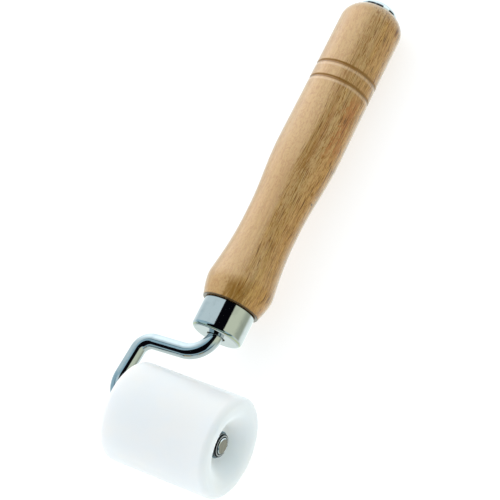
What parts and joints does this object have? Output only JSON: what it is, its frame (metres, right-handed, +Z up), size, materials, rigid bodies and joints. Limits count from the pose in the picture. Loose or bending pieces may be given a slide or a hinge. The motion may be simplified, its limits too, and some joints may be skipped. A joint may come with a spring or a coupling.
{
  "type": "hand roller",
  "caption": "Small hand roller with a white plastic roller on a cranked chrome rod and a turned wooden handle with a ferrule.",
  "frame": {"origin": "on the surface the tool lies on, under the middle of the roller", "axes": "+X along the roller's axis towards its free end, +Y from the roller towards the butt of the handle, +Z up"},
  "size_m": [0.0572, 0.2045, 0.038],
  "materials": {
    "beech": "clear satin lacquer over turned beech",
    "chrome": "bright chrome plate",
    "zinc_steel": "zinc plated",
    "black_steel": "blackened spring steel, oiled",
    "roller_plastic": "milky white, smooth satin",
    "bush_bronze": "plain bearing bronze"
  },
  "bodies": {
    "handle_assembly": {"handle": "beech", "ferrule": "chrome", "end_cap": "chrome", "tang_nut": "zinc_steel", "tang_washer": "zinc_steel", "rod": "chrome", "washer_leg_side": "zinc_steel", "washer_free_side": "zinc_steel", "retaining_ring": "black_steel"},
    "roller_assembly": {"roller": "roller_plastic", "bush_leg_side": "bush_bronze", "bush_free_side": "bush_bronze"}
  },
  "joints": [
    {"name": "roller_spin", "type": "hinge", "parent": "handle_assembly", "child": "roller_assembly", "pos_m": [0, 0, 0.019], "axis": [1, 0, 0], "continuous": true}
  ]
}
